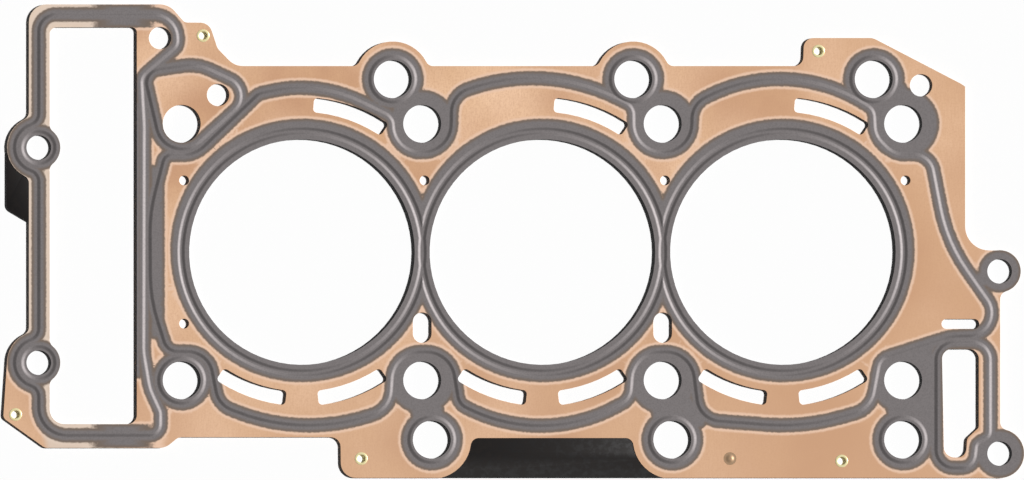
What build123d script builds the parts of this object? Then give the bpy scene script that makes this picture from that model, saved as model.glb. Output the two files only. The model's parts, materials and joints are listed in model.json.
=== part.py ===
from build123d import *
import math
import os

os.makedirs("parts", exist_ok=True)

# Head gasket for one bank of a V6 engine: three steel layers held together by small eyelets.
# Seen from above, the bores lie in a row along X, with the timing chain opening on the left. The
# middle bore stands on the origin and the underside is at Z = 0. All sizes are in millimetres.

# Thickness of the middle layer and of the two pressed sheets, and height of their relief
carrier_t = 0.6
sheet_t = 0.25
relief_h = 0.2
flank = 1.6

# Cylinder bores in a row, and the steel left between two of them
bore_count = 3
bore_pitch = 90.0
bore_web = 5.6

# Head bolt holes stand midway between the bores, in one row above them and one below
bolt_row = 48.0
bolt_r = 7.1
pocket_r = 10.6

# Full bead round each bore: distance of its middle from the bore's edge, and its widths
bead_offset = 3.1
bead_top = 3.1
bead_floor = 0.3

# Stopper ring that lies on the carrier round each bore, clear of the beads above it
stopper_t = 0.12
stopper_inset = 0.3
stopper_play = 0.02

# Coolant slots: distance of their middle from the bore's edge, width, corners and angles from
# the middle line across the bores
top_slot_offset = 13.0
low_slot_offset = 12.7
slot_width = 5.5
slot_corner = 1.5
top_slot_start = 4.5
top_slot_end = 34.1
low_slot_start = 6.3
low_slot_end = 33.9

# Upright slots in the webs, and small vents at the bolt columns
web_slot_width = 7.0
web_slot_length = 11.4
web_slot_drop = 28.3
vent_r = 1.85
vent_shift = 0.9
vent_rise = 26.8

# Small level slot on the far side
side_slot_length = 14.1
side_slot_width = 3.7

# Oil drains above and below the bores, each with a raised ring and a lobe of the outer edge
drain_r = 7.1
ring_r = 8.6
top_drain_shift = 34.0
top_drain_rise = 16.7
top_lobe_r = 14.1
low_drain_shift = 3.6
low_drain_drop = 22.2
low_lobe_r = 14.7
notch_corner = 3.0

# Corner bolts, two on the chain side and two on the far side
corner_r = 4.6
chain_bolt_x = 53.5
chain_bolts_y = (39.1, -41.4)
chain_boss_r = 11.9
chain_disc_r = 9.1
chain_disc_blend = 4.5
chain_inner_r = 8.05
chain_inner_blend = 3.0
chain_pocket_r = 6.0
far_bolt_x = 36.1
far_bolts_y = (-7.2, -75.4)
far_boss_r = (7.9, 9.2)
boss_blend = 3.0

# Oil feed holes
feed_r = 4.2

# Hollow eyelets, and the one closed rivet among them with its domed heads
eyelet_r = 2.4
eyelet_tube_r = 1.8
eyelet_wall = 0.3
eyelet_head = 0.15
eyelet_edge = 0.06
eyelet_play = 0.05
dome_rise = 0.2
dome_edge = 0.03
closed_rivet = 5

# Half bead over each bore: its left corner from the bolt hole there, as (x, rise, radius), its crown
# from the bore, as (x, rise over the bolt row, radius), and the rise of its right corner
top_starts = ((28.7, 11.2, 5.2), (11.1, 10.8, 9.0), (11.1, 7.3, 9.0))
top_crowns = ((5.9, 16.4, 52.0), (0.9, 23.2, 71.9), (1.8, 26.0, 59.6))
top_ends = (2.4, 6.5, 5.3)

# The same under each bore: depth of its left corner, its crown and depth of its right corner
low_starts = (9.1, 8.8, 14.7)
low_crowns = ((0.8, 21.8, 75.6), (0.1, 25.2, 94.9), (8.0, 17.7, 81.1))
low_ends = (10.6, 6.9, 10.6)

# Tab of the carrier that shows at the chain side: how far its root and its end lie from the first
# bolt column, its height and the slope of its lower edge
tab_root = 57.0
tab_end = 65.5
tab_top = 37.0
tab_bottom = 11.0
tab_slope = 5.0
tab_corner = 3.0

# Heights of the layers
bore_r = (bore_pitch - bore_web) / 2
land_h = sheet_t + relief_h
carrier_z = land_h
upper_z = land_h + carrier_t
middle_z = land_h + carrier_t / 2

# Outer edge of a stopper ring from its bore: where the nearest bead comes down to it
bead_flank = (bead_top - bead_floor) / 2
bead_gap = min(bead_offset, bore_web - bead_offset) - bead_floor / 2
stopper_reach = bead_gap - bead_flank * (stopper_t + stopper_play) / relief_h

# Columns of the bores and of the head bolts
bores_x = [(n - (bore_count - 1) / 2) * bore_pitch for n in range(bore_count)]
bolts_x = [(n - bore_count / 2) * bore_pitch for n in range(bore_count + 1)]
left = bolts_x[0]
right = bolts_x[-1]
top = bolt_row
low = -bolt_row

# Places of the holes, as (x, y)
head_bolts = [(x, y) for y in (top, low) for x in bolts_x]
chain_bolts = [(left - chain_bolt_x, y) for y in chain_bolts_y]
far_bolts = [(right + far_bolt_x, y) for y in far_bolts_y]
top_drains = [(x + top_drain_shift, top + top_drain_rise) for x in bores_x]
low_drains = [(x + low_drain_shift, low - low_drain_drop) for x in bolts_x[1:-1]]
low_drains.append((right, low - low_drain_drop))
feeds = [(left + 13.6, top + 10.8), (left - 8.1, top + 32.1), (right + 6.7, top + 14.4)]
vents = [(x + vent_shift, vent_rise) for x in bolts_x] + [(left + vent_shift, -vent_rise)]
web_slots = [(x, -web_slot_drop) for x in bolts_x[1:-1]]
side_slot = (right + 21.4, -26.9)
eyelets = [
    (left + 8.0, top + 33.0),
    (left - 62.2, low - 12.8),
    (bores_x[0] + 22.2, low - 29.3),
    (bores_x[-1] + 13.3, top + 27.2),
    (bores_x[-1] - 19.8, low - 29.3),
    (bores_x[-1] + 22.0, low - 30.2),
]


def rounded(corners):
    """A face inside a line through corners (x, y, radius), each rounded by an arc.

    Where a run is too short for the arcs at its two ends, both arcs give way by the same share.
    """
    points = [Vector(x, y) for x, y, _ in corners]
    runs = [end - start for start, end in zip(points, points[1:] + points[:1])]
    reach = []
    for n, (_, _, radius) in enumerate(corners):
        turn = math.radians(runs[n - 1].get_angle(runs[n]))
        reach.append(radius * math.tan(turn / 2))
    share = []
    for n, run in enumerate(runs):
        wanted = reach[n] + reach[(n + 1) % len(reach)]
        share.append(min(1.0, run.length / wanted))
    with BuildSketch() as face:
        with BuildLine():
            starts, ends = [], []
            for n, point in enumerate(points):
                cut = reach[n] * min(share[n - 1], share[n])
                starts.append(point - runs[n - 1].normalized() * cut)
                ends.append(point + runs[n].normalized() * cut)
            for n, run in enumerate(runs):
                TangentArc(starts[n], ends[n], tangent=runs[n - 1])
                following = starts[(n + 1) % len(runs)]
                if (following - ends[n]).length > 0.01:
                    Line(ends[n], following)
        make_face()
    return face.sketch


def joined(corners, discs, blend, mode=Mode.ADD):
    """A rounded outline with discs (x, y, radius) added or cut away, their junctions blended."""
    with BuildSketch() as face:
        add(rounded(corners))
        for x, y, radius in discs:
            with Locations((x, y)):
                Circle(radius, mode=mode)
        for x, y, radius in discs:
            sharp = face.vertices().filter_by(
                lambda corner: abs((corner.center() - Vector(x, y)).length - radius) < 0.01
            )
            fillet(sharp, blend)
    return face.sketch


def curved_slot(centre_x, radius, start, end):
    """A coolant slot that follows a bore, from one angle to another, with rounded corners."""
    with BuildSketch() as slot:
        with BuildLine():
            outer = CenterArc((centre_x, 0), radius + slot_width / 2, start, end - start)
            inner = CenterArc((centre_x, 0), radius - slot_width / 2, start, end - start)
            Line(outer @ 0, inner @ 0)
            Line(outer @ 1, inner @ 1)
        make_face()
        fillet(slot.vertices(), slot_corner)
    return slot.sketch


def coolant_line():
    """Corners of the half bead that closes the coolant field, clockwise from the left end."""
    corners = [
        (left - 11.7, -17.4, 60),
        (left - 11.9, 14.8, 60),
        (left - 6.3, top - 11.5, 3.4),
        (left + 4.9, top - 11.8, 11.7),
    ]
    for n, bore_x in enumerate(bores_x):
        if n > 0:
            corners += [
                (bolts_x[n] - pocket_r, top - pocket_r, pocket_r),
                (bolts_x[n] + pocket_r, top - pocket_r, pocket_r),
            ]
        start_x, start_rise, start_r = top_starts[n]
        crown_x, crown_rise, crown_r = top_crowns[n]
        corners += [
            (bolts_x[n] + start_x, top + start_rise, start_r),
            (bore_x + crown_x, top + crown_rise, crown_r),
            (bolts_x[n + 1] - 10.8, top + top_ends[n], 5.2),
        ]
    corners += [
        (right - 10.3, top - 4.4, 9.0),
        (right - 3.4, top - 11.4, 9.0),
        (right + 10.2, top - 11.4, 7.5),
        (right + 16.5, 3.8, 60),
        (right + 34.6, -22.0, 8.6),
        (right + 30.0, low + 16.8, 8.6),
        (right + 17.7, low + 16.4, 22.5),
        (right - 8.5, low + 8.0, 5.2),
    ]
    for n, bore_x in reversed(list(enumerate(bores_x))):
        crown_x, crown_drop, crown_r = low_crowns[n]
        corners += [
            (bore_x + 33.0, low - low_ends[n], 10.1),
            (bore_x + crown_x, low - crown_drop, crown_r),
            (bore_x - 31.2, low - low_starts[n], 9.0),
        ]
        if n > 0:
            corners += [
                (bolts_x[n] + pocket_r, low + pocket_r, pocket_r),
                (bolts_x[n] - pocket_r, low + pocket_r, pocket_r),
            ]
    corners += [
        (left + 10.0, low + 10.6, 9.4),
        (left - 5.5, low + 10.9, 5.2),
    ]
    return corners


def triangle_line():
    """Corners of the half bead round the first head bolt and its oil feed hole."""
    return [
        (left - 14.3, top + 19.5, 5.2),
        (left + 5.8, top + 22.5, 17.9),
        (left + 27.9, top + 12.3, 7.1),
        (left - 5.6, top - 18.0, 9.7),
    ]


def chain_line():
    """Corners of the half bead that runs round the chain opening, without its bolt discs."""
    return [
        (left - 53.5, top + 40.9, 6.4),
        (left - 1.5, top + 40.9, 9.0),
        (left - 1.4, top + 29.2, 4.1),
        (left - 15.0, top + 17.5, 4.9),
        (left - 14.0, top - 0.7, 44.9),
        (left - 14.2, low + 10.4, 22.5),
        (left - 11.9, low - 3.1, 18.7),
        (left - 7.9, low - 11.9, 3.7),
        (left - 7.9, low - 20.6, 4.1),
        (left - 53.5, low - 20.6, 10.5),
    ]


def chain_opening():
    """Corners of the opening for the timing chain, without its bolt bosses."""
    return [
        (left - 49.4, top + 36.1, 2.6),
        (left - 16.8, top + 36.1, 1.9),
        (left - 16.8, low - 16.4, 3.4),
        (left - 49.4, low - 16.4, 5.6),
    ]


def window_line():
    """Corners of the half bead round the window on the far side."""
    return [
        (right + 12.3, low + 14.3, 6.7),
        (right + 32.7, low + 14.3, 6.7),
        (right + 32.7, low - 21.0, 3.4),
        (right + 27.6, low - 23.7, 2.6),
        (right + 26.5, low - 32.8, 5.2),
        (right + 12.3, low - 32.8, 6.7),
    ]


def window_opening():
    """Corners of the window on the far side."""
    return [
        (right + 14.5, low + 11.7, 3.7),
        (right + 28.3, low + 11.7, 3.7),
        (right + 28.3, low - 17.7, 1.5),
        (right + 23.9, low - 21.8, 2.6),
        (right + 23.5, low - 28.9, 3.4),
        (right + 15.3, low - 28.9, 4.1),
    ]


def edge_line():
    """Corners of the layers' outer edge, without the lobes and bosses that stand out from it."""
    return [
        (left - 57.2, top + 44.7, 6.7),
        (left - 4.9, top + 44.7, 7.5),
        (left + 1.1, top + 37.9, 2.2),
        (left + 10.2, top + 37.8, 4.5),
        (left + 13.4, top + 28.2, 3.7),
        (left + 19.8, top + 21.6, 7.5),
        (right - 37.5, top + 21.6, 3.4),
        (right - 37.1, top + 32.1, 3.7),
        (right - 11.3, top + 32.1, 5.2),
        (right + 21.8, top + 14.9, 1.9),
        (right + 23.2, top + 13.9, 0.4),
        (right + 23.2, far_bolts_y[0] + 7.8, 9.0),
        (right + 36.3, far_bolts_y[0] + 7.8, 0.4),
        (right + 36.3, low - 36.5, 0.4),
        (left + 59.6, low - 36.5, 5.6),
        (left + 59.4, low - 21.3, 3.7),
        (left - 1.2, low - 21.3, 3.7),
        (left - 6.1, low - 25.3, 6.0),
        (left - 51.2, low - 25.3, 3.4),
        (left - 66.8, low - 14.1, 2.2),
        (left - 65.4, chain_bolts_y[1], 0.4),
        (left - 57.2, chain_bolts_y[1] + 6.4, 0.4),
    ]


# Outline of the layers: the rounded edge, lobes round the drains and bosses round the corner bolts
lobes = [(x, y, top_lobe_r) for x, y in top_drains[:-1]]
lobes += [(x, y, chain_boss_r) for x, y in chain_bolts]
lobes += [(x, y, r) for (x, y), r in zip(far_bolts, far_boss_r)]
edge = joined(edge_line(), lobes, boss_blend)

# Notch between the two lower lobes, which only the pressed sheets have
notch_top = low - 21.6
with BuildSketch() as notch:
    with BuildLine():
        Polyline(
            (low_drains[0][0], notch_top),
            (low_drains[1][0], notch_top),
            (low_drains[1][0], notch_top - 2 * low_lobe_r),
            (low_drains[0][0], notch_top - 2 * low_lobe_r),
            close=True,
        )
    make_face()
    with Locations(low_drains[:2]):
        Circle(low_lobe_r, mode=Mode.SUBTRACT)
    fillet(notch.vertices().group_by(Axis.Y)[-1], notch_corner)

# Tab of the carrier beside the upper chain bolt
with BuildSketch() as tab:
    with BuildLine():
        Polyline(
            (left - tab_root, tab_top),
            (left - tab_end, tab_top),
            (left - tab_end, tab_bottom + tab_slope),
            (left - tab_root, tab_bottom),
            close=True,
        )
    make_face()
    fillet(tab.vertices().group_by(Axis.X)[0].sort_by(Axis.Y)[0], tab_corner)

# Openings that all three layers share
with BuildSketch() as openings:
    for x in bores_x:
        with Locations((x, 0)):
            Circle(bore_r)
    with Locations(head_bolts):
        Circle(bolt_r)
    with Locations(top_drains + low_drains):
        Circle(drain_r)
    with Locations(chain_bolts + far_bolts):
        Circle(corner_r)
    with Locations(feeds):
        Circle(feed_r)
    with Locations(vents):
        Circle(vent_r)
    with Locations(web_slots):
        SlotOverall(web_slot_length, web_slot_width, rotation=90)
    with Locations(side_slot):
        SlotOverall(side_slot_length, side_slot_width)
    for x in bores_x:
        add(curved_slot(x, bore_r + top_slot_offset, 90 - top_slot_end, 90 - top_slot_start))
        add(curved_slot(x, bore_r + low_slot_offset, 270 + low_slot_start, 270 + low_slot_end))
        add(curved_slot(x, bore_r + low_slot_offset, 270 - low_slot_end, 270 - low_slot_start))
    inner_bosses = [(x, y, chain_inner_r) for x, y in chain_bolts]
    add(joined(chain_opening(), inner_bosses, chain_inner_blend, Mode.SUBTRACT))
    add(rounded(window_opening()))
    with Locations(eyelets):
        Circle(eyelet_tube_r + eyelet_play)

# Relief pressed into a sheet: raised fields with sloping flanks, standing on Z = 0
chain_discs = [(x, y, chain_disc_r) for x, y in chain_bolts]
fields = [
    rounded(coolant_line()),
    rounded(triangle_line()),
    joined(chain_line(), chain_discs, chain_disc_blend),
    rounded(window_line()),
]
rings = top_drains + low_drains + [(left, low)]
flank_angle = math.degrees(math.atan(flank / relief_h))
with BuildPart() as relief:
    for field in fields:
        with BuildSketch() as base:
            add(field)
            offset(amount=flank / 2)
        extrude(amount=relief_h, taper=flank_angle)
    with Locations([(x, y, 0) for x, y in rings]):
        Cone(
            ring_r + flank / 2,
            ring_r - flank / 2,
            relief_h,
            align=(Align.CENTER, Align.CENTER, Align.MIN),
        )
    with Locations([(x, y, 0) for x, y in chain_bolts]):
        Cone(
            chain_pocket_r - flank / 2,
            chain_pocket_r + flank / 2,
            relief_h,
            align=(Align.CENTER, Align.CENTER, Align.MIN),
            mode=Mode.SUBTRACT,
        )
    for x in bores_x:
        bead_r = bore_r + bead_offset
        with BuildSketch(Plane.XZ) as groove:
            with BuildLine():
                Polyline(
                    (x + bead_r - bead_floor / 2, 0),
                    (x + bead_r + bead_floor / 2, 0),
                    (x + bead_r + bead_top / 2, relief_h),
                    (x + bead_r + bead_top / 2, 2 * relief_h),
                    (x + bead_r - bead_top / 2, 2 * relief_h),
                    (x + bead_r - bead_top / 2, relief_h),
                    close=True,
                )
            make_face()
        revolve(axis=Axis((x, 0, 0), (0, 0, 1)), mode=Mode.SUBTRACT)

# Upper sheet: lands lie on the carrier, raised fields stand clear of it by the relief's height
with BuildPart() as upper_layer:
    with BuildSketch(Plane.XY.offset(upper_z)):
        add(edge)
        add(notch.sketch, mode=Mode.SUBTRACT)
    extrude(amount=sheet_t)
    add(relief.part.moved(Location((0, 0, upper_z + sheet_t))))
    add(relief.part.moved(Location((0, 0, upper_z))), mode=Mode.SUBTRACT)
    with BuildSketch(Plane.XY.offset(upper_z)):
        add(openings.sketch)
    extrude(amount=land_h, mode=Mode.SUBTRACT)
upper_layer.part.label = "upper_layer"
export_step(upper_layer.part, "parts/upper_layer.step")

# Lower sheet: the upper one turned over
with BuildPart() as lower_layer:
    add(mirror(upper_layer.part, about=Plane.XY.offset(middle_z), mode=Mode.PRIVATE))
lower_layer.part.label = "lower_layer"
export_step(lower_layer.part, "parts/lower_layer.step")

# Carrier: a flat middle layer with the same openings, without the notch and with the tab
with BuildPart() as carrier_layer:
    with BuildSketch(Plane.XY.offset(carrier_z)):
        add(edge)
        add(tab.sketch)
        add(openings.sketch, mode=Mode.SUBTRACT)
    extrude(amount=carrier_t)
carrier_layer.part.label = "carrier_layer"
export_step(carrier_layer.part, "parts/carrier_layer.step")

# Stopper rings on the carrier, under the raised edge of each bore
for number, x in enumerate(bores_x, 1):
    with BuildPart() as stopper_ring:
        with BuildSketch(Plane.XY.offset(upper_z)):
            with Locations((x, 0)):
                Circle(bore_r + stopper_reach)
                Circle(bore_r + stopper_inset, mode=Mode.SUBTRACT)
        extrude(amount=stopper_t)
    stopper_ring.part.label = f"stopper_ring_{number}"
    export_step(stopper_ring.part, f"parts/stopper_ring_{number}.step")

# Eyelets: a short tube through the three layers with a rolled head on each side. The closed rivet
# is solid, and its heads are shallow domes.
head_seat = carrier_t / 2 + sheet_t
head_face = head_seat + eyelet_head
eyelet_bore_r = eyelet_tube_r - eyelet_wall
for number, place in enumerate(eyelets, 1):
    with BuildPart() as rivet:
        with BuildSketch(Plane((*place, middle_z), x_dir=(1, 0, 0), z_dir=(0, -1, 0))):
            with BuildLine():
                if number == closed_rivet:
                    crown = TangentArc(
                        (0, head_seat + dome_rise),
                        (eyelet_r, head_seat + dome_edge),
                        tangent=(1, 0),
                    )
                    Polyline(
                        crown @ 1,
                        (eyelet_r, head_seat),
                        (eyelet_tube_r, head_seat),
                        (eyelet_tube_r, 0),
                        (0, 0),
                        crown @ 0,
                    )
                else:
                    Polyline(
                        (eyelet_bore_r, 0),
                        (eyelet_bore_r, head_face - eyelet_edge),
                        (eyelet_bore_r + eyelet_edge, head_face),
                        (eyelet_r - eyelet_edge, head_face),
                        (eyelet_r, head_face - eyelet_edge),
                        (eyelet_r, head_seat),
                        (eyelet_tube_r, head_seat),
                        (eyelet_tube_r, 0),
                        close=True,
                    )
            make_face()
            mirror(about=Plane.XZ)
        revolve(axis=Axis((*place, 0), (0, 0, 1)))
    rivet.part.label = f"rivet_{number}"
    export_step(rivet.part, f"parts/rivet_{number}.step")
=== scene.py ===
# %% [markdown]
# # A multi-layer steel head gasket in Blender
# A head gasket is a sandwich of thin steel sheets. The upper sheet is lacquered a warm tan, pressed
# with low beads, and printed with grey sealing bands that follow the beads. A black carrier sheet
# shows at its edges, and small brass eyelets hold the stack together. The sizes come from the packed
# CAD frame; this script adds finer surfaces, the printed bands, the finishes, light and a camera.

# %% Load the frame
import bpy
import bmesh
import json
import math
import numpy as np
from mathutils import Matrix, Vector
from mathutils.bvhtree import BVHTree


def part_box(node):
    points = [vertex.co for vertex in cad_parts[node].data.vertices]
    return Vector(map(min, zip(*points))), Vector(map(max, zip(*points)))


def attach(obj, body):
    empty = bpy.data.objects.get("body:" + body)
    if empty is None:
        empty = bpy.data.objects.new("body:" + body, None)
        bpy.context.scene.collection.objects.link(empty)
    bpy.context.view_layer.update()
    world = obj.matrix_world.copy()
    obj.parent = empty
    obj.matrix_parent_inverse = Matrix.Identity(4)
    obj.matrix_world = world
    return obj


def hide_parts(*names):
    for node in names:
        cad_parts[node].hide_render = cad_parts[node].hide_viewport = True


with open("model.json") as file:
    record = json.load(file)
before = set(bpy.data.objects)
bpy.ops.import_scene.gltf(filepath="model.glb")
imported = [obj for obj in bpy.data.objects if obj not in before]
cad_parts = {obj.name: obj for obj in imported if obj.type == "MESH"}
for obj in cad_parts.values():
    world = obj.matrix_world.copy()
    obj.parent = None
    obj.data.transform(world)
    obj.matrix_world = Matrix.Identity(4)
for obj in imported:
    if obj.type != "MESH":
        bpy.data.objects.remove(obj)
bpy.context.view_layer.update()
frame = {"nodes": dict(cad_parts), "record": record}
mm = 0.001
nodes = frame["nodes"]
scene = bpy.context.scene
print("nodes:", sorted(nodes))

# %% [markdown]
# ## Heights of the stack
# Every layer's level can be read from the boxes of the nodes. The sheets are mirror images, so the
# lower sheet takes the same work as the upper one, turned over about the middle of the carrier.

# %% Read the levels
carrier_low, carrier_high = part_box("carrier_layer")
upper_low, upper_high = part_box("upper_layer")
rivet_low, rivet_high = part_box("rivet_1")
middle_z = (carrier_low.z + carrier_high.z) / 2
sheet_rise = upper_high.z - upper_low.z
relief = 0.2 * mm
sheet_thick = sheet_rise - relief
land_z = upper_low.z + sheet_thick
print("sheet", round(sheet_thick / mm, 3), "mm thick, relief", round(relief / mm, 3), "mm")

# %% [markdown]
# ## Places of the holes
# The frame's record names every hole's clear box and every cylinder bore. Their centres are all that
# the printed bands need, so no place is written twice.

# %% Collect the hole centres
record = frame["record"]
bores = [Vector(m["pos_m"]).xy for m in record["mounts"] if m["kind"] == "bore"]
bore_r = next(m["dims"]["r_mm"] for m in record["mounts"] if m["kind"] == "bore") * mm
holes = {}
for opening in record["physics"]["openings"]:
    low, high = opening["box_m"]
    holes[opening["name"]] = Vector(((low[0] + high[0]) / 2, (low[1] + high[1]) / 2))


def named(start):
    """Centres of the holes whose names begin with these words, in the order of their numbers."""
    return [holes[name] for name in sorted(holes) if name.startswith(start)]


print(len(bores), "bores of radius", round(bore_r / mm, 2), "mm and", len(holes), "named holes")

# %% [markdown]
# ## Kinds of face
# The sheet has only three kinds of face: level lands and fields, upright hole walls, and the sloping
# flanks of the beads between them. How far a face's direction points up or down tells them apart.

# %% Tell the faces apart
level_z = 0.9999
upright_z = 0.02


def is_flank(face):
    return upright_z < abs(face.normal.z) < level_z


def merged_copy(node):
    """The node's triangles as one connected mesh, with flat areas joined."""
    work = bmesh.new()
    work.from_mesh(nodes[node].data)
    bmesh.ops.remove_doubles(work, verts=work.verts, dist=0.0005 * mm)
    bmesh.ops.dissolve_limit(work, angle_limit=math.radians(0.05), verts=work.verts, edges=work.edges)
    return work


pressed = merged_copy("upper_layer")
print("sheet:", len(pressed.faces), "faces,", sum(map(is_flank, pressed.faces)), "of them flanks")

# %% [markdown]
# ## The pressed relief
# The CAD sheet has straight flanks between its low lands and its raised fields. A press tool leaves
# rounded ones. The flanks are the only sloping faces, so level cuts divide just them into strips,
# and a smooth step from land to field then rounds their section without moving any outline.

# %% Cut the flanks into strips
flank_cuts = 4


def smooth_step(share):
    return share * share * (3 - 2 * share)


def cut_levels(work, base):
    """Divide the sloping faces that start at this height into strips of equal height."""
    for step in range(1, flank_cuts):
        level = base + relief * step / flank_cuts
        sloping = [face for face in work.faces if is_flank(face)]
        parts = set(sloping)
        for face in sloping:
            parts.update(face.edges)
            parts.update(face.verts)
        bmesh.ops.bisect_plane(
            work, geom=list(parts), dist=1e-8, plane_co=(0, 0, level), plane_no=(0, 0, 1)
        )


def round_sections(work, base):
    """Turn the straight flanks above this height into smooth ones."""
    for vert in work.verts:
        share = (vert.co.z - base) / relief
        if 0 < share < 1:
            vert.co.z = base + relief * smooth_step(share)


cut_levels(pressed, land_z)
cut_levels(pressed, upper_low.z)
bmesh.ops.triangulate(pressed, faces=pressed.faces, quad_method="BEAUTY", ngon_method="BEAUTY")
print("cut sheet:", len(pressed.verts), "points", len(pressed.faces), "faces")

# %% [markdown]
# ## Where the grey bands are printed
# The print follows the beads, so it is worked out from them: a band keeps an even distance from the
# nearest flank. A search tree over the upper flanks, laid flat, answers how far any point is from
# them. The bores' own beads are left out, because one wide ring round each bore covers them.

# %% Find the flanks that the print follows
band_reach = 1.9
bore_margin = 6 * mm
flat_shape = []
flat_faces = []
for face in pressed.faces:
    middle = face.calc_center_median()
    near_bore = min((middle.xy - bore).length for bore in bores) < bore_r + bore_margin
    if is_flank(face) and face.normal.z > 0 and middle.z > land_z and not near_bore:
        start = len(flat_shape)
        flat_shape += [Vector((v.co.x, v.co.y, 0)) for v in face.verts]
        flat_faces.append(tuple(range(start, start + len(face.verts))))
flank_tree = BVHTree.FromPolygons(flat_shape, flat_faces)
print("the bands follow", len(flat_faces), "flank faces")

# %% [markdown]
# ## Discs, necks, fields and patches
# Round the holes the print widens to discs, and necks join a bolt hole to the drain beside it. A few
# corners are filled, and two wide patches on the chain side fade out slowly. Radii and corners are
# in millimetres.

# %% List the wider parts of the print
bore_disc = 49.3
bore_shift = 0.6
bolt_disc = 12.7
first_bolt_disc = 9.6
last_bolt_disc = 13.5
drain_disc = 11.6
far_discs = (8.0, 9.2)
drain_neck = 6.4
corner_neck = 9.0

upper_bolts = named("upper_bolt_hole")
lower_bolts = named("lower_bolt_hole")
upper_drains = named("upper_drain")
lower_drains = named("lower_drain")
far_bolts = named("far_side_hole")
discs = [(bore + Vector((0, bore_shift * mm)), bore_disc) for bore in bores]
discs += [(hole, bolt_disc) for hole in upper_bolts[1:3] + lower_bolts[1:]]
discs += [(upper_bolts[3], last_bolt_disc), (lower_bolts[0], first_bolt_disc)]
discs += [(hole, drain_disc) for hole in upper_drains + lower_drains]
discs += list(zip(far_bolts, far_discs))
necks = [(lower_bolts[n + 1], lower_drains[n], drain_neck) for n in range(3)]
necks += [(upper_drains[2], upper_bolts[3], corner_neck)]
necks += [(far_bolts[0], far_bolts[0] + Vector((-7, -3)) * mm, 3.2)]
necks += [(lower_bolts[2] + Vector((8, -8)) * mm, lower_drains[1] + Vector((9.6, 7.4)) * mm, 3.6)]
right = lower_bolts[3].x / mm
fields = [
    [(right, -35.0), (right, -70.5), (right + 12, -74.0), (right + 12, -31.5)],
    [(right, 47.7), (right + 8.4, 54.8), (right + 1.5, 61.5), (right - 11, 64.6)],
    [(-147.0, 32.5), (-141.4, 32.5), (-141.4, -32.5), (-147.0, -32.5)],
    [(-153.2, 56.7), (-150.0, 56.7), (-150.0, -47.3), (-153.2, -47.3)],
]
patches = [(-167.5, -146.0, 84.0, 92.6), (-168.0, -146.5, -73.2, -64.4)]
patch_fade = 0.2
print(len(discs), "discs,", len(necks), "necks,", len(fields), "fields,", len(patches), "patches")

# %% [markdown]
# ## One number for the whole print
# Each rule gives a depth in millimetres that is positive inside the print, and the largest one wins.
# Stored on the mesh, that number is an edge that a material can soften.

# %% Depth rules
def disc_depth(points, centre, radius):
    return radius - np.hypot(points[:, 0] - centre.x, points[:, 1] - centre.y) / mm


def neck_depth(points, start, end, radius):
    """Depth inside a straight bar with round ends."""
    run = np.array(end - start)
    offset = points - np.array(start)
    share = np.clip(offset @ run / (run @ run), 0, 1)
    return radius - np.linalg.norm(offset - share[:, None] * run, axis=1) / mm


def field_depth(points, corners):
    """Depth inside a field with straight sides: the distance to the nearest one."""
    spots = np.array(corners) * mm
    centre = spots.mean(axis=0)
    depths = []
    for start, end in zip(spots, np.roll(spots, -1, axis=0)):
        run = (end - start) / np.linalg.norm(end - start)
        across = np.array((-run[1], run[0]))
        if (centre - start) @ across < 0:
            across = -across
        depths.append((points - start) @ across / mm)
    return np.min(depths, axis=0)


def patch_depth(points, west, east, south, north):
    """Depth inside a patch, which grows only slowly from its two ends."""
    ends = np.minimum(points[:, 0] / mm - west, east - points[:, 0] / mm) * patch_fade
    sides = np.minimum(points[:, 1] / mm - south, north - points[:, 1] / mm)
    return np.minimum(ends, sides)


def print_depth(points):
    """How deep each point (x, y) lies inside the printed bands, in millimetres."""
    nearest = [flank_tree.find_nearest(Vector((x, y, 0)))[3] for x, y in points]
    rules = [band_reach - np.array(nearest) / mm]
    rules += [disc_depth(points, *disc) for disc in discs]
    rules += [neck_depth(points, *neck) for neck in necks]
    rules += [field_depth(points, corners) for corners in fields]
    rules += [patch_depth(points, *patch) for patch in patches]
    return np.max(rules, axis=0)


print("depth at the first bolt:", print_depth(np.array([lower_bolts[0]])).round(2), "mm")

# %% [markdown]
# ## Points where the print ends
# A value stored on points is only as fine as the points are close. Edges that cross the rim of the
# print are halved until they are short, while the rest of the sheet keeps its few large triangles.

# %% Refine the upper face along the rim of the print
rim_step = 1.5 * mm
rim_turns = 9
crossing_share = 0.6
for turn in range(rim_turns):
    upper_edges = [
        e for e in pressed.edges
        if e.calc_length() > rim_step and min(v.co.z for v in e.verts) > land_z - 0.01 * mm
    ]
    middles = np.array([((e.verts[0].co + e.verts[1].co) / 2).xy for e in upper_edges])
    depths = np.abs(print_depth(middles)) * mm
    crossing = [
        e for e, depth in zip(upper_edges, depths) if depth < crossing_share * e.calc_length()
    ]
    if not crossing:
        break
    bmesh.ops.subdivide_edges(pressed, edges=crossing, cuts=1)
    bmesh.ops.triangulate(pressed, faces=pressed.faces, quad_method="BEAUTY", ngon_method="BEAUTY")
print("refined sheet:", len(pressed.verts), "points", len(pressed.faces), "faces after", turn, "turns")

# %% [markdown]
# ## Directions of the surface
# On a flat sheet of long triangles, averaged directions would smear the flanks' shading across the
# lands. The true direction is known: straight up on lands and fields, and on a flank it leans by
# the slope of the smooth step. These are stored as custom normals, and hole walls get round ones.

# %% Work out the directions
gentle_turn = 0.87


def wall_direction(loop):
    """Direction of a hole's wall at a corner, rounded over neighbours that turn gently."""
    own = loop.face.normal
    total = Vector()
    for face in loop.vert.link_faces:
        if abs(face.normal.z) < upright_z and face.normal.dot(own) > gentle_turn:
            total += face.normal
    return total.normalized() if total.length else Vector((0, 0, 1))


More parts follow.
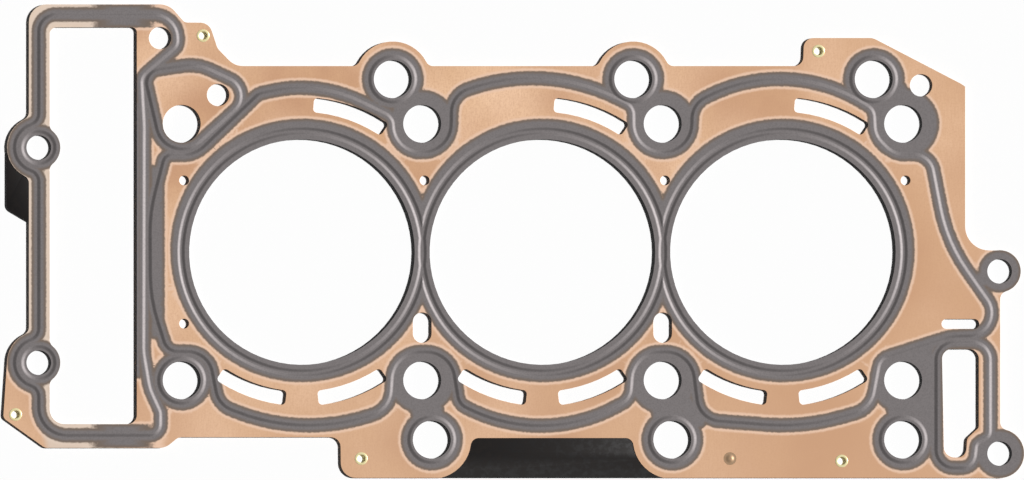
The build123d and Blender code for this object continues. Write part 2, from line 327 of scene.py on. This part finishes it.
def flank_direction(loop, base, side):
    """Direction of a rounded flank at a corner, from the slope that it had when it was straight."""
    total = Vector()
    for face in loop.vert.link_faces:
        if is_flank(face) and face.normal.z * side > 0:
            total += face.normal
    share = (loop.vert.co.z - base) / relief
    steep = 6 * share * (1 - share)
    total.normalize()
    return Vector((total.x * steep, total.y * steep, total.z)).normalized()


directions = []
for face in pressed.faces:
    for loop in face.loops:
        if abs(face.normal.z) > level_z:
            directions.append(face.normal.copy())
        elif abs(face.normal.z) < upright_z:
            directions.append(wall_direction(loop))
        elif face.normal.z > 0:
            directions.append(flank_direction(loop, land_z, 1))
        else:
            directions.append(flank_direction(loop, upper_low.z, -1))
round_sections(pressed, land_z)
round_sections(pressed, upper_low.z)
print("directions for", len(directions), "corners")

# %% [markdown]
# ## Two sheets from one mesh
# The lower sheet is the upper one turned over. A mirrored mesh is inside out, so its faces are
# flipped. A flip keeps a face's first corner and reverses the others, so their stored directions are
# put in that order too.

# %% Make the sheet objects
def finished_sheet(name, turned_over):
    """The pressed sheet as an object, or its mirror image below the carrier."""
    work = pressed.copy()
    normals = [d.copy() for d in directions]
    mesh = bpy.data.meshes.new(name)
    work.to_mesh(mesh)
    work.free()
    if turned_over:
        mesh.transform(Matrix.Translation((0, 0, 2 * middle_z)) @ Matrix.Scale(-1, 4, (0, 0, 1)))
        mesh.flip_normals()
        normals = [Vector((d.x, d.y, -d.z)) for d in normals]
        regrouped = []
        for polygon in mesh.polygons:
            own = normals[polygon.loop_start:polygon.loop_start + polygon.loop_total]
            regrouped += [own[0]] + own[:0:-1]
        normals = regrouped
    depth = mesh.attributes.new("print_depth", "FLOAT", "POINT")
    places = np.array([v.co.xy for v in mesh.vertices])
    depth.data.foreach_set("value", print_depth(places).astype(np.float32))
    mesh.shade_smooth()
    mesh.normals_split_custom_set(normals)
    sheet = bpy.data.objects.new(name, mesh)
    scene.collection.objects.link(sheet)
    return sheet


upper_sheet = finished_sheet("upper_sheet", False)
lower_sheet = finished_sheet("lower_sheet", True)
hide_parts("upper_layer")
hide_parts("lower_layer")
for sheet in (upper_sheet, lower_sheet):
    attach(sheet, "root")
print("each sheet:", len(upper_sheet.data.polygons), "triangles")

# %% [markdown]
# ## The black carrier
# The carrier is a plain stamped sheet. A real stamping has slightly broken edges that catch a thin
# line of light, so a small chamfer is cut on every rim.

# %% Carrier with broken edges
rim_chamfer = 0.06 * mm
rim_angle = math.radians(60)
carrier_work = merged_copy("carrier_layer")
rims = [
    e for e in carrier_work.edges
    if len(e.link_faces) == 2 and e.calc_face_angle() > rim_angle
    and abs(e.verts[0].co.z - e.verts[1].co.z) < 0.001 * mm
]
bmesh.ops.bevel(
    carrier_work, geom=rims, offset=rim_chamfer, affect="EDGES", segments=1, profile=0.5, material=-1
)
bmesh.ops.triangulate(carrier_work, faces=carrier_work.faces)
carrier_mesh = bpy.data.meshes.new("carrier_sheet")
carrier_work.to_mesh(carrier_mesh)
carrier_work.free()
carrier_mesh.shade_smooth()
carrier_mesh.set_sharp_from_angle(angle=math.radians(25))
carrier_sheet = bpy.data.objects.new("carrier_sheet", carrier_mesh)
scene.collection.objects.link(carrier_sheet)
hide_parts("carrier_layer")
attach(carrier_sheet, "root")
print("carrier:", len(rims), "rim edges,", len(carrier_mesh.polygons), "triangles")

# %% [markdown]
# ## Sections of the eyelets
# An eyelet is a short brass tube whose ends were rolled outward into round heads. One of them is a
# closed rivet with a shallow button on each side. Both are round, so half a section is all that
# describes them: points of (radius, height above the middle) in millimetres.

# %% Draw the half sections
eyelet_count = 6
closed_rivet = 5
head_r = (rivet_high.x - rivet_low.x) / 2 / mm
tube_r = 1.8
tube_wall = 0.3
crown_r = 0.4
foot_r = 1.75
button_edge = 0.03
button_steps = 8
seat = (land_z - middle_z) / mm


def eyelet_section(top):
    """Half of an open eyelet's section, from its bore over the rolled head to its tube."""
    bore = tube_r - tube_wall
    return [
        (bore, 0.0),
        (bore, top - 0.12),
        (bore + 0.03, top - 0.05),
        (bore + 0.1, top - 0.012),
        (bore + 0.22, top),
        (head_r - 0.4, top),
        (head_r - 0.2, top - 0.02),
        (head_r - 0.06, top - 0.06),
        (head_r, top - 0.11),
        (head_r, seat),
        (tube_r, seat),
        (tube_r, 0.0),
    ]


def button_section(top):
    """Half of the closed rivet's section, from the crown of its button to its shank."""
    rise = top - seat - button_edge
    shares = [step / button_steps for step in range(button_steps + 1)]
    button = [
        (
            crown_r + (foot_r - crown_r) * share,
            seat + button_edge + rise * (1 - smooth_step(share)),
        )
        for share in shares
    ]
    rim = [(head_r, seat + button_edge), (head_r, seat), (tube_r, seat), (tube_r, 0.0)]
    return [(0.0, top)] + button + rim


print("heads of radius", round(head_r, 2), "mm on tubes of radius", tube_r, "mm")

# %% [markdown]
# ## Turning the eyelets
# The half section is mirrored to a whole one, and one full turn of that line about the eyelet's own
# axis makes the body. Points on the axis come out once for each step, so they are merged.

# %% Turn the eyelets
turn_steps = 48
eyelets = []
for number in range(1, eyelet_count + 1):
    low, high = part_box(f"rivet_{number}")
    centre = Vector(((low.x + high.x) / 2, (low.y + high.y) / 2, middle_z))
    top = (high.z - middle_z) / mm
    half = button_section(top) if number == closed_rivet else eyelet_section(top)
    section = half + [(r, -z) for r, z in reversed(half[:-1])]
    work = bmesh.new()
    verts = [work.verts.new(centre + Vector((r * mm, 0, z * mm))) for r, z in section]
    for start, end in zip(verts, verts[1:]):
        work.edges.new((start, end))
    bmesh.ops.spin(
        work, geom=work.verts[:] + work.edges[:], cent=centre, axis=(0, 0, 1),
        angle=math.tau, steps=turn_steps, use_merge=True
    )
    bmesh.ops.remove_doubles(work, verts=work.verts, dist=0.0001 * mm)
    bmesh.ops.recalc_face_normals(work, faces=work.faces)
    mesh = bpy.data.meshes.new(f"eyelet_{number}")
    work.to_mesh(mesh)
    work.free()
    mesh.shade_smooth()
    mesh.set_sharp_from_angle(angle=math.radians(50))
    eyelet = bpy.data.objects.new(f"eyelet_{number}", mesh)
    scene.collection.objects.link(eyelet)
    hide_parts(f"rivet_{number}")
    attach(eyelet, "root")
    eyelets.append(eyelet)
print(len(eyelets), "eyelets of", [len(eyelet.data.polygons) for eyelet in eyelets], "faces")

# %% [markdown]
# ## Node helpers
# Each finish is a small net of shader nodes. A few helpers keep the nets readable: one adds a node
# and sets its inputs, and the others mix two colours, ease a value into a range, or make noise.

# %% Helpers for the finishes
def new_finish(name):
    """A material with its node tree and its main shader."""
    finish = bpy.data.materials.new(name)
    finish.use_nodes = True
    tree = finish.node_tree
    return finish, tree, tree.nodes["Principled BSDF"]


def add(tree, kind, values=(), **settings):
    """A node with settings by name and input values by name or number."""
    made = tree.nodes.new(kind)
    for key, value in settings.items():
        setattr(made, key, value)
    for key, value in dict(values).items():
        made.inputs[key].default_value = value
    return made


def own_place(tree):
    """The piece's own coordinates, in metres."""
    return tree.nodes.new("ShaderNodeTexCoord").outputs["Object"]


def colour(red, green, blue):
    """A colour written as on a screen, from 0 to 255, turned into the linear one that nodes use."""
    return tuple(
        (c / 255 / 12.92) if c / 255 <= 0.04045 else ((c / 255 + 0.055) / 1.055) ** 2.4
        for c in (red, green, blue)
    ) + (1.0,)


def mix(tree, share, first, second):
    """A colour mix; share, first and second are outputs or fixed values."""
    made = tree.nodes.new("ShaderNodeMix")
    made.data_type = "RGBA"
    for socket, value in (("Factor", share), ("A", first), ("B", second)):
        spots = [s for s in made.inputs if s.name == socket and s.enabled]
        if isinstance(value, bpy.types.NodeSocket):
            tree.links.new(value, spots[0])
        else:
            spots[0].default_value = value
    return next(s for s in made.outputs if s.enabled)


def ramp(tree, value, low, high, out_low=0.0, out_high=1.0):
    """A value eased from one range into another."""
    limits = {"From Min": low, "From Max": high, "To Min": out_low, "To Max": out_high}
    made = add(tree, "ShaderNodeMapRange", interpolation_type="SMOOTHSTEP")
    tree.links.new(value, made.inputs["Value"])
    for name, number in limits.items():
        made.inputs[name].default_value = number
    return made.outputs["Result"]


def noise(tree, place, scale, detail=2.0, stretch=None):
    """Noise at so many cycles to a metre, read from the piece's own coordinates."""
    if stretch:
        turned = add(tree, "ShaderNodeMapping", {"Scale": stretch})
        tree.links.new(place, turned.inputs["Vector"])
        place = turned.outputs["Vector"]
    made = add(tree, "ShaderNodeTexNoise", {"Scale": scale, "Detail": detail, "Roughness": 0.6})
    tree.links.new(place, made.inputs["Vector"])
    return made.outputs["Fac"]


print("white as a node colour:", colour(255, 255, 255))

# %% [markdown]
# ## The tan lacquer
# The steel carries a thin warm lacquer. Baked on unevenly, it varies slowly from orange tan to yellow
# and brown, with specks and the faint grain of rolled sheet. Broad, middle and fine noise are laid
# over each other for that. It is browner towards the lower side, and towards the far side a painted
# shade darkens it, standing in for the light falling off across the sheet.

# %% Colour of the lacquer
def lacquer(tree, place, apart):
    """Colour of the lacquer with painted shade on its far side, from the piece's coordinates and their
    parts.
    """
    broad = ramp(tree, noise(tree, place, 13, 2), 0.36, 0.64)
    patchy = ramp(tree, noise(tree, place, 38, 3), 0.35, 0.7, 0.0, 0.6)
    grain = ramp(tree, noise(tree, place, 2600, 2, (1, 0.12, 1)), 0.3, 0.75, 0.0, 0.25)
    speck = ramp(tree, noise(tree, place, 1500, 3), 0.4, 0.75, 0.0, 0.35)
    lower_side = ramp(tree, apart.outputs["Y"], 50 * mm, -60 * mm, 0.0, 0.5)
    # painted shade: the lacquer darkens towards the far side, where the light falls off
    painted_far_shade = ramp(tree, apart.outputs["X"], 20 * mm, 120 * mm, 0.0, 0.5)
    tan = mix(tree, broad, colour(255, 214, 178), colour(204, 156, 121))
    tan = mix(tree, patchy, tan, colour(228, 184, 142))
    tan = mix(tree, grain, tan, colour(196, 150, 116))
    tan = mix(tree, speck, tan, colour(192, 146, 114))
    tan = mix(tree, lower_side, tan, colour(208, 164, 130))
    return mix(tree, painted_far_shade, tan, colour(210, 163, 126))


sheet_finish, tree, shader = new_finish("lacquered_sheet")
place = own_place(tree)
apart = tree.nodes.new("ShaderNodeSeparateXYZ")
tree.links.new(place, apart.inputs["Vector"])
tan = lacquer(tree, place, apart)
print("lacquer:", len(tree.nodes), "nodes")

# %% [markdown]
# ## The rim of the print
# The stored depth says how far inside the print a point lies. A little noise added to it makes the
# rim of the rubber slightly ragged, and three eased steps read it: where the print covers, where it
# is full, and a painted highlight, a pale line on the lacquer just outside it.

# %% Read the print's depth
stored = add(tree, "ShaderNodeAttribute", attribute_name="print_depth").outputs["Fac"]
wobble = ramp(tree, noise(tree, place, 900, 3), 0.3, 0.7, -0.12, 0.12)
ragged = add(tree, "ShaderNodeMath", operation="ADD")
tree.links.new(stored, ragged.inputs[0])
tree.links.new(wobble, ragged.inputs[1])
printed = ramp(tree, ragged.outputs[0], -0.45, 0.35)
full = ramp(tree, ragged.outputs[0], 0.2, 1.5)
# painted highlight: a pale line on the lacquer just outside the print's rim
painted_rim_highlight = ramp(tree, ragged.outputs[0], -1.5, -0.5)
tan = mix(tree, painted_rim_highlight, tan, colour(236, 199, 172))
print("rim read from", stored.node.attribute_name)

# %% [markdown]
# ## Pale strips of the chain side
# Round the chain opening the narrow strips beside the band are worn to a pale beige. They lie left of
# one upright line and above one slanted line, which keeps the corner with the eyelet tan.

# %% Pale strips
strip_slant = 3.5
frame_side = ramp(tree, apart.outputs["X"], -156 * mm, -162 * mm, 0.0, 0.7)
slanted = add(tree, "ShaderNodeMath", {1: strip_slant}, operation="MULTIPLY_ADD")
tree.links.new(apart.outputs["X"], slanted.inputs[0])
tree.links.new(apart.outputs["Y"], slanted.inputs[2])
past_corner = ramp(tree, slanted.outputs[0], -728 * mm, -716 * mm)
pale = mix(tree, frame_side, tan, colour(222, 208, 194))
tan = mix(tree, past_corner, tan, pale)
print("net so far:", len(tree.nodes), "nodes")

# %% [markdown]
# ## The grey print
# The print is a grey rubber skin with fine specks, slightly browner at its rim. It covers the
# lacquer, and its sheen is closer to metal, which gives the beads their light and dark sides. A very
# fine bump breaks up the shine of both.

# %% Grey print over the lacquer
speckle = ramp(tree, noise(tree, place, 1800, 3), 0.35, 0.75, 0.0, 0.5)
grey = mix(tree, speckle, colour(140, 134, 134), colour(116, 111, 111))
grey = mix(tree, full, colour(132, 117, 106), grey)
tree.links.new(mix(tree, printed, tan, grey), shader.inputs["Base Color"])
tree.links.new(ramp(tree, printed, 0, 1, 0.45, 0.5), shader.inputs["Roughness"])
tree.links.new(ramp(tree, printed, 0, 1, 0.2, 0.85), shader.inputs["Metallic"])
bump = add(tree, "ShaderNodeBump", {"Strength": 0.2, "Distance": 0.02 * mm})
tree.links.new(noise(tree, place, 2200, 3), bump.inputs["Height"])
tree.links.new(bump.outputs["Normal"], shader.inputs["Normal"])
for sheet in (upper_sheet, lower_sheet):
    sheet.data.materials.clear()
    sheet.data.materials.append(sheet_finish)
print("sheet finish:", len(tree.nodes), "nodes")

# %% [markdown]
# ## Carrier and stoppers
# The carrier is smooth black with a faint mottle. The stopper rings are bare rolled steel with fine
# streaks along one direction. They are CAD nodes that keep their own mesh.

# %% Black and steel
black_finish, tree, shader = new_finish("black_sheet")
mottle = ramp(tree, noise(tree, own_place(tree), 500, 4), 0.35, 0.7)
tree.links.new(mix(tree, mottle, colour(40, 37, 36), colour(31, 29, 29)), shader.inputs["Base Color"])
tree.links.new(ramp(tree, mottle, 0, 1, 0.3, 0.42), shader.inputs["Roughness"])
carrier_sheet.data.materials.clear()
carrier_sheet.data.materials.append(black_finish)

steel_finish, tree, shader = new_finish("bare_steel")
streak = noise(tree, own_place(tree), 900, 3, (1, 0.1, 1))
steel = mix(tree, streak, colour(150, 150, 152), colour(186, 186, 188))
tree.links.new(steel, shader.inputs["Base Color"])
tree.links.new(ramp(tree, streak, 0.3, 0.7, 0.25, 0.4), shader.inputs["Roughness"])
shader.inputs["Metallic"].default_value = 1.0
rings = [nodes[name] for name in sorted(nodes) if name.startswith("stopper_ring")]
for ring in rings:
    ring.data.materials.clear()
    ring.data.materials.append(steel_finish)
print("black on 1 sheet, steel on", len(rings), "rings")

# %% [markdown]
# ## Brass
# The eyelets are pale brass, a little rough from rolling, with dull patches where it tarnished. The
# closed rivet was lacquered with the sheet, so it is warmer, and smooth enough for its button to
# show a bright and a dark side.

# %% Brass of the eyelets
def rolled_brass(name, bright, dull, metal, smooth, rough):
    """Brass that is bright with dull patches, as rolling leaves it."""
    finish, tree, shader = new_finish(name)
    tarnish = ramp(tree, noise(tree, own_place(tree), 1500, 3), 0.4, 0.75)
    tree.links.new(mix(tree, tarnish, bright, dull), shader.inputs["Base Color"])
    tree.links.new(ramp(tree, tarnish, 0, 1, smooth, rough), shader.inputs["Roughness"])
    shader.inputs["Metallic"].default_value = metal
    return finish


open_finish = rolled_brass("pale_brass", colour(252, 242, 190), colour(228, 208, 146), 0.3, 0.3, 0.45)
closed_finish = rolled_brass(
    "lacquered_brass", colour(255, 214, 174), colour(240, 192, 148), 0.8, 0.3, 0.34
)
for number, eyelet in enumerate(eyelets, 1):
    eyelet.data.materials.append(closed_finish if number == closed_rivet else open_finish)
print("finishes:", [m.name for m in bpy.data.materials if m.users])

# %% [markdown]
# ## Floor
# The photo's ground is plain white. A pale floor that isn't quite white keeps the gasket's shadow and
# doesn't clip.

# %% Floor
floor_reach = 3.0
floor_white = 0.92
floor_mesh = bpy.data.meshes.new("floor")
work = bmesh.new()
bmesh.ops.create_grid(work, x_segments=1, y_segments=1, size=floor_reach)
work.to_mesh(floor_mesh)
work.free()
floor = bpy.data.objects.new("floor", floor_mesh)
scene.collection.objects.link(floor)
floor_finish, tree, shader = new_finish("white_ground")
shader.inputs["Base Color"].default_value = (floor_white, floor_white, floor_white, 1.0)
shader.inputs["Roughness"].default_value = 0.9
floor_mesh.materials.append(floor_finish)
print("floor of", 2 * floor_reach, "m")

# %% [markdown]
# ## Light
# The photo is lit from the right, with a narrow dark shadow at every edge. A sun at that side and at
# half height makes those shadows and picks out the flanks, and a weak even sky fills them.

# %% Sun and sky
sun_strength = 4.25
sun_height = math.radians(50)
sun_lean = 0.12
sky_strength = 0.04
sun_data = bpy.data.lights.new("key", "SUN")
sun_data.energy = sun_strength
sun_data.angle = math.radians(4)
sun = bpy.data.objects.new("key", sun_data)
sun_direction = Vector((math.cos(sun_height), sun_lean, math.sin(sun_height)))
sun.rotation_euler = sun_direction.to_track_quat("Z", "Y").to_euler()
scene.collection.objects.link(sun)

world = bpy.data.worlds.new("soft_room")
scene.world = world
world.use_nodes = True
background = world.node_tree.nodes["Background"]
background.inputs["Color"].default_value = (1, 1, 1, 1)
background.inputs["Strength"].default_value = sky_strength
print("sun", sun_strength, "sky", sky_strength)

# %% [markdown]
# ## Camera
# The photo looks straight down without perspective, as a flat scan does, so the camera is an
# orthographic one above the middle of the picture, as wide as the photo at its scale.

# %% Camera
photo_width = 1024
pixels_per_mm = 2.672
view_centre = Vector((-11.4 * mm, 4.5 * mm, 0.9))
camera_data = bpy.data.cameras.new("camera")
camera_data.type = "ORTHO"
camera_data.ortho_scale = photo_width / pixels_per_mm * mm
camera = bpy.data.objects.new("camera", camera_data)
camera.location = view_centre
scene.collection.objects.link(camera)
scene.camera = camera
scene.view_settings.view_transform = "Standard"
print("picture is", round(camera_data.ortho_scale / mm, 1), "mm wide")
